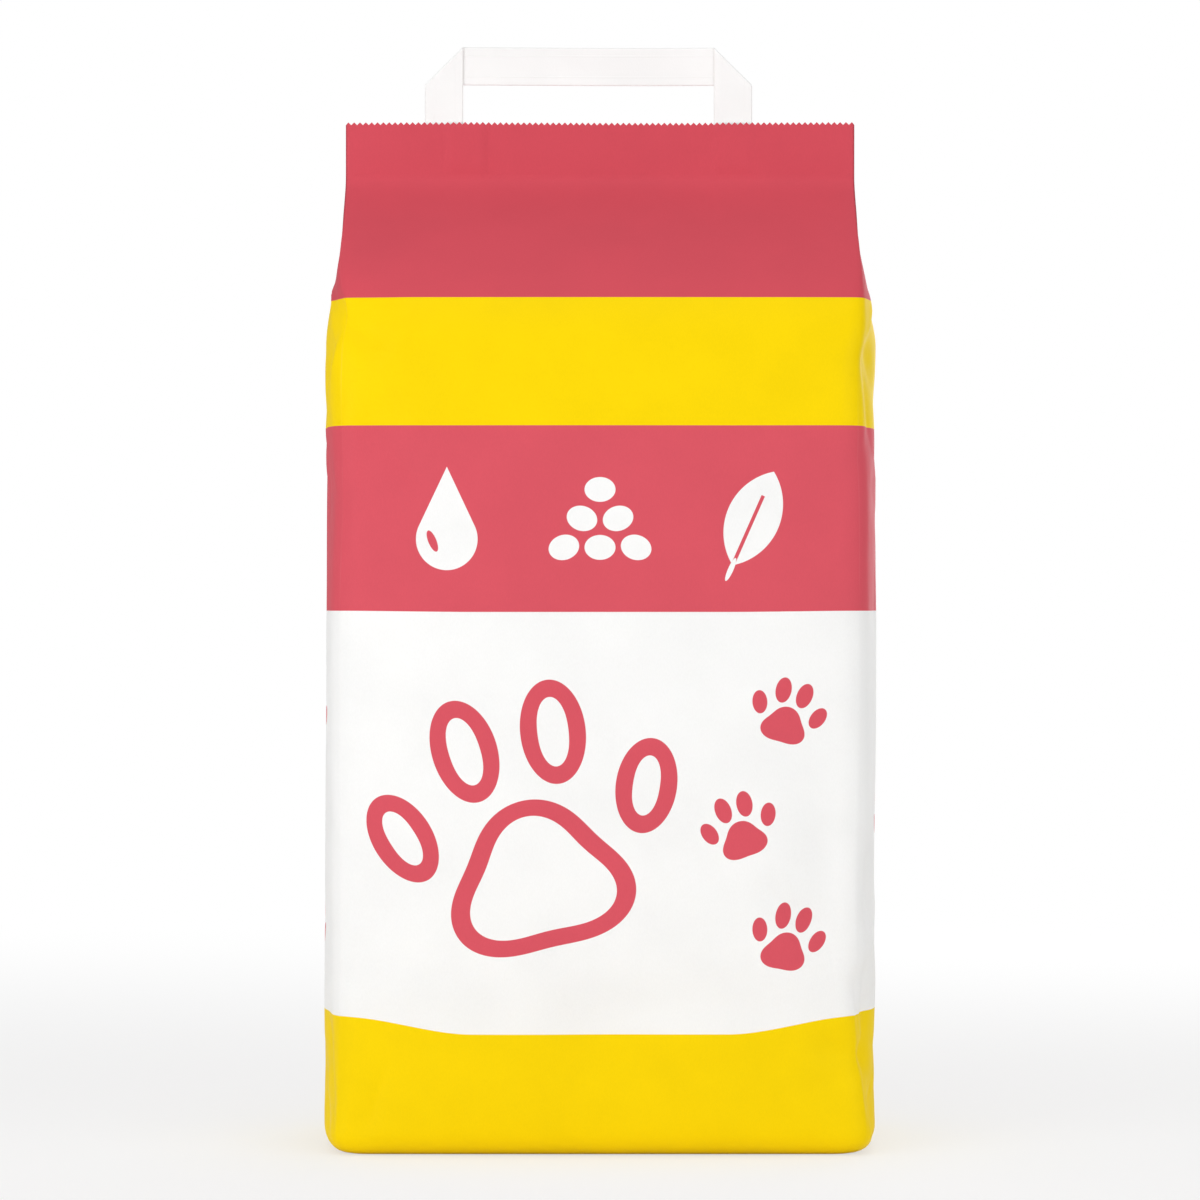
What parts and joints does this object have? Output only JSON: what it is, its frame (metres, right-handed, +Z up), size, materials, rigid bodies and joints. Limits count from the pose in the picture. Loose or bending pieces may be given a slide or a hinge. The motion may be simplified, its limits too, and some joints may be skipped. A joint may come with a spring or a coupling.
{
  "type": "cat litter bag",
  "caption": "Filled block-bottom paper sack with side gussets, a flat glued closure with a pinked edge, and a folded flat paper carrying handle.",
  "frame": {"origin": "middle of the flat base, on the surface that the sack stands on", "axes": "+Z up through the closure and the handle, +X along the front panel's width to the right, -Y out of the printed front"},
  "size_m": [0.2142, 0.1266, 0.4292],
  "materials": {
    "printed_paper": "satin",
    "handle_paper": "matte"
  },
  "bodies": {
    "root": {"paper_sack": "printed_paper", "carry_handle": "handle_paper"}
  },
  "joints": []
}
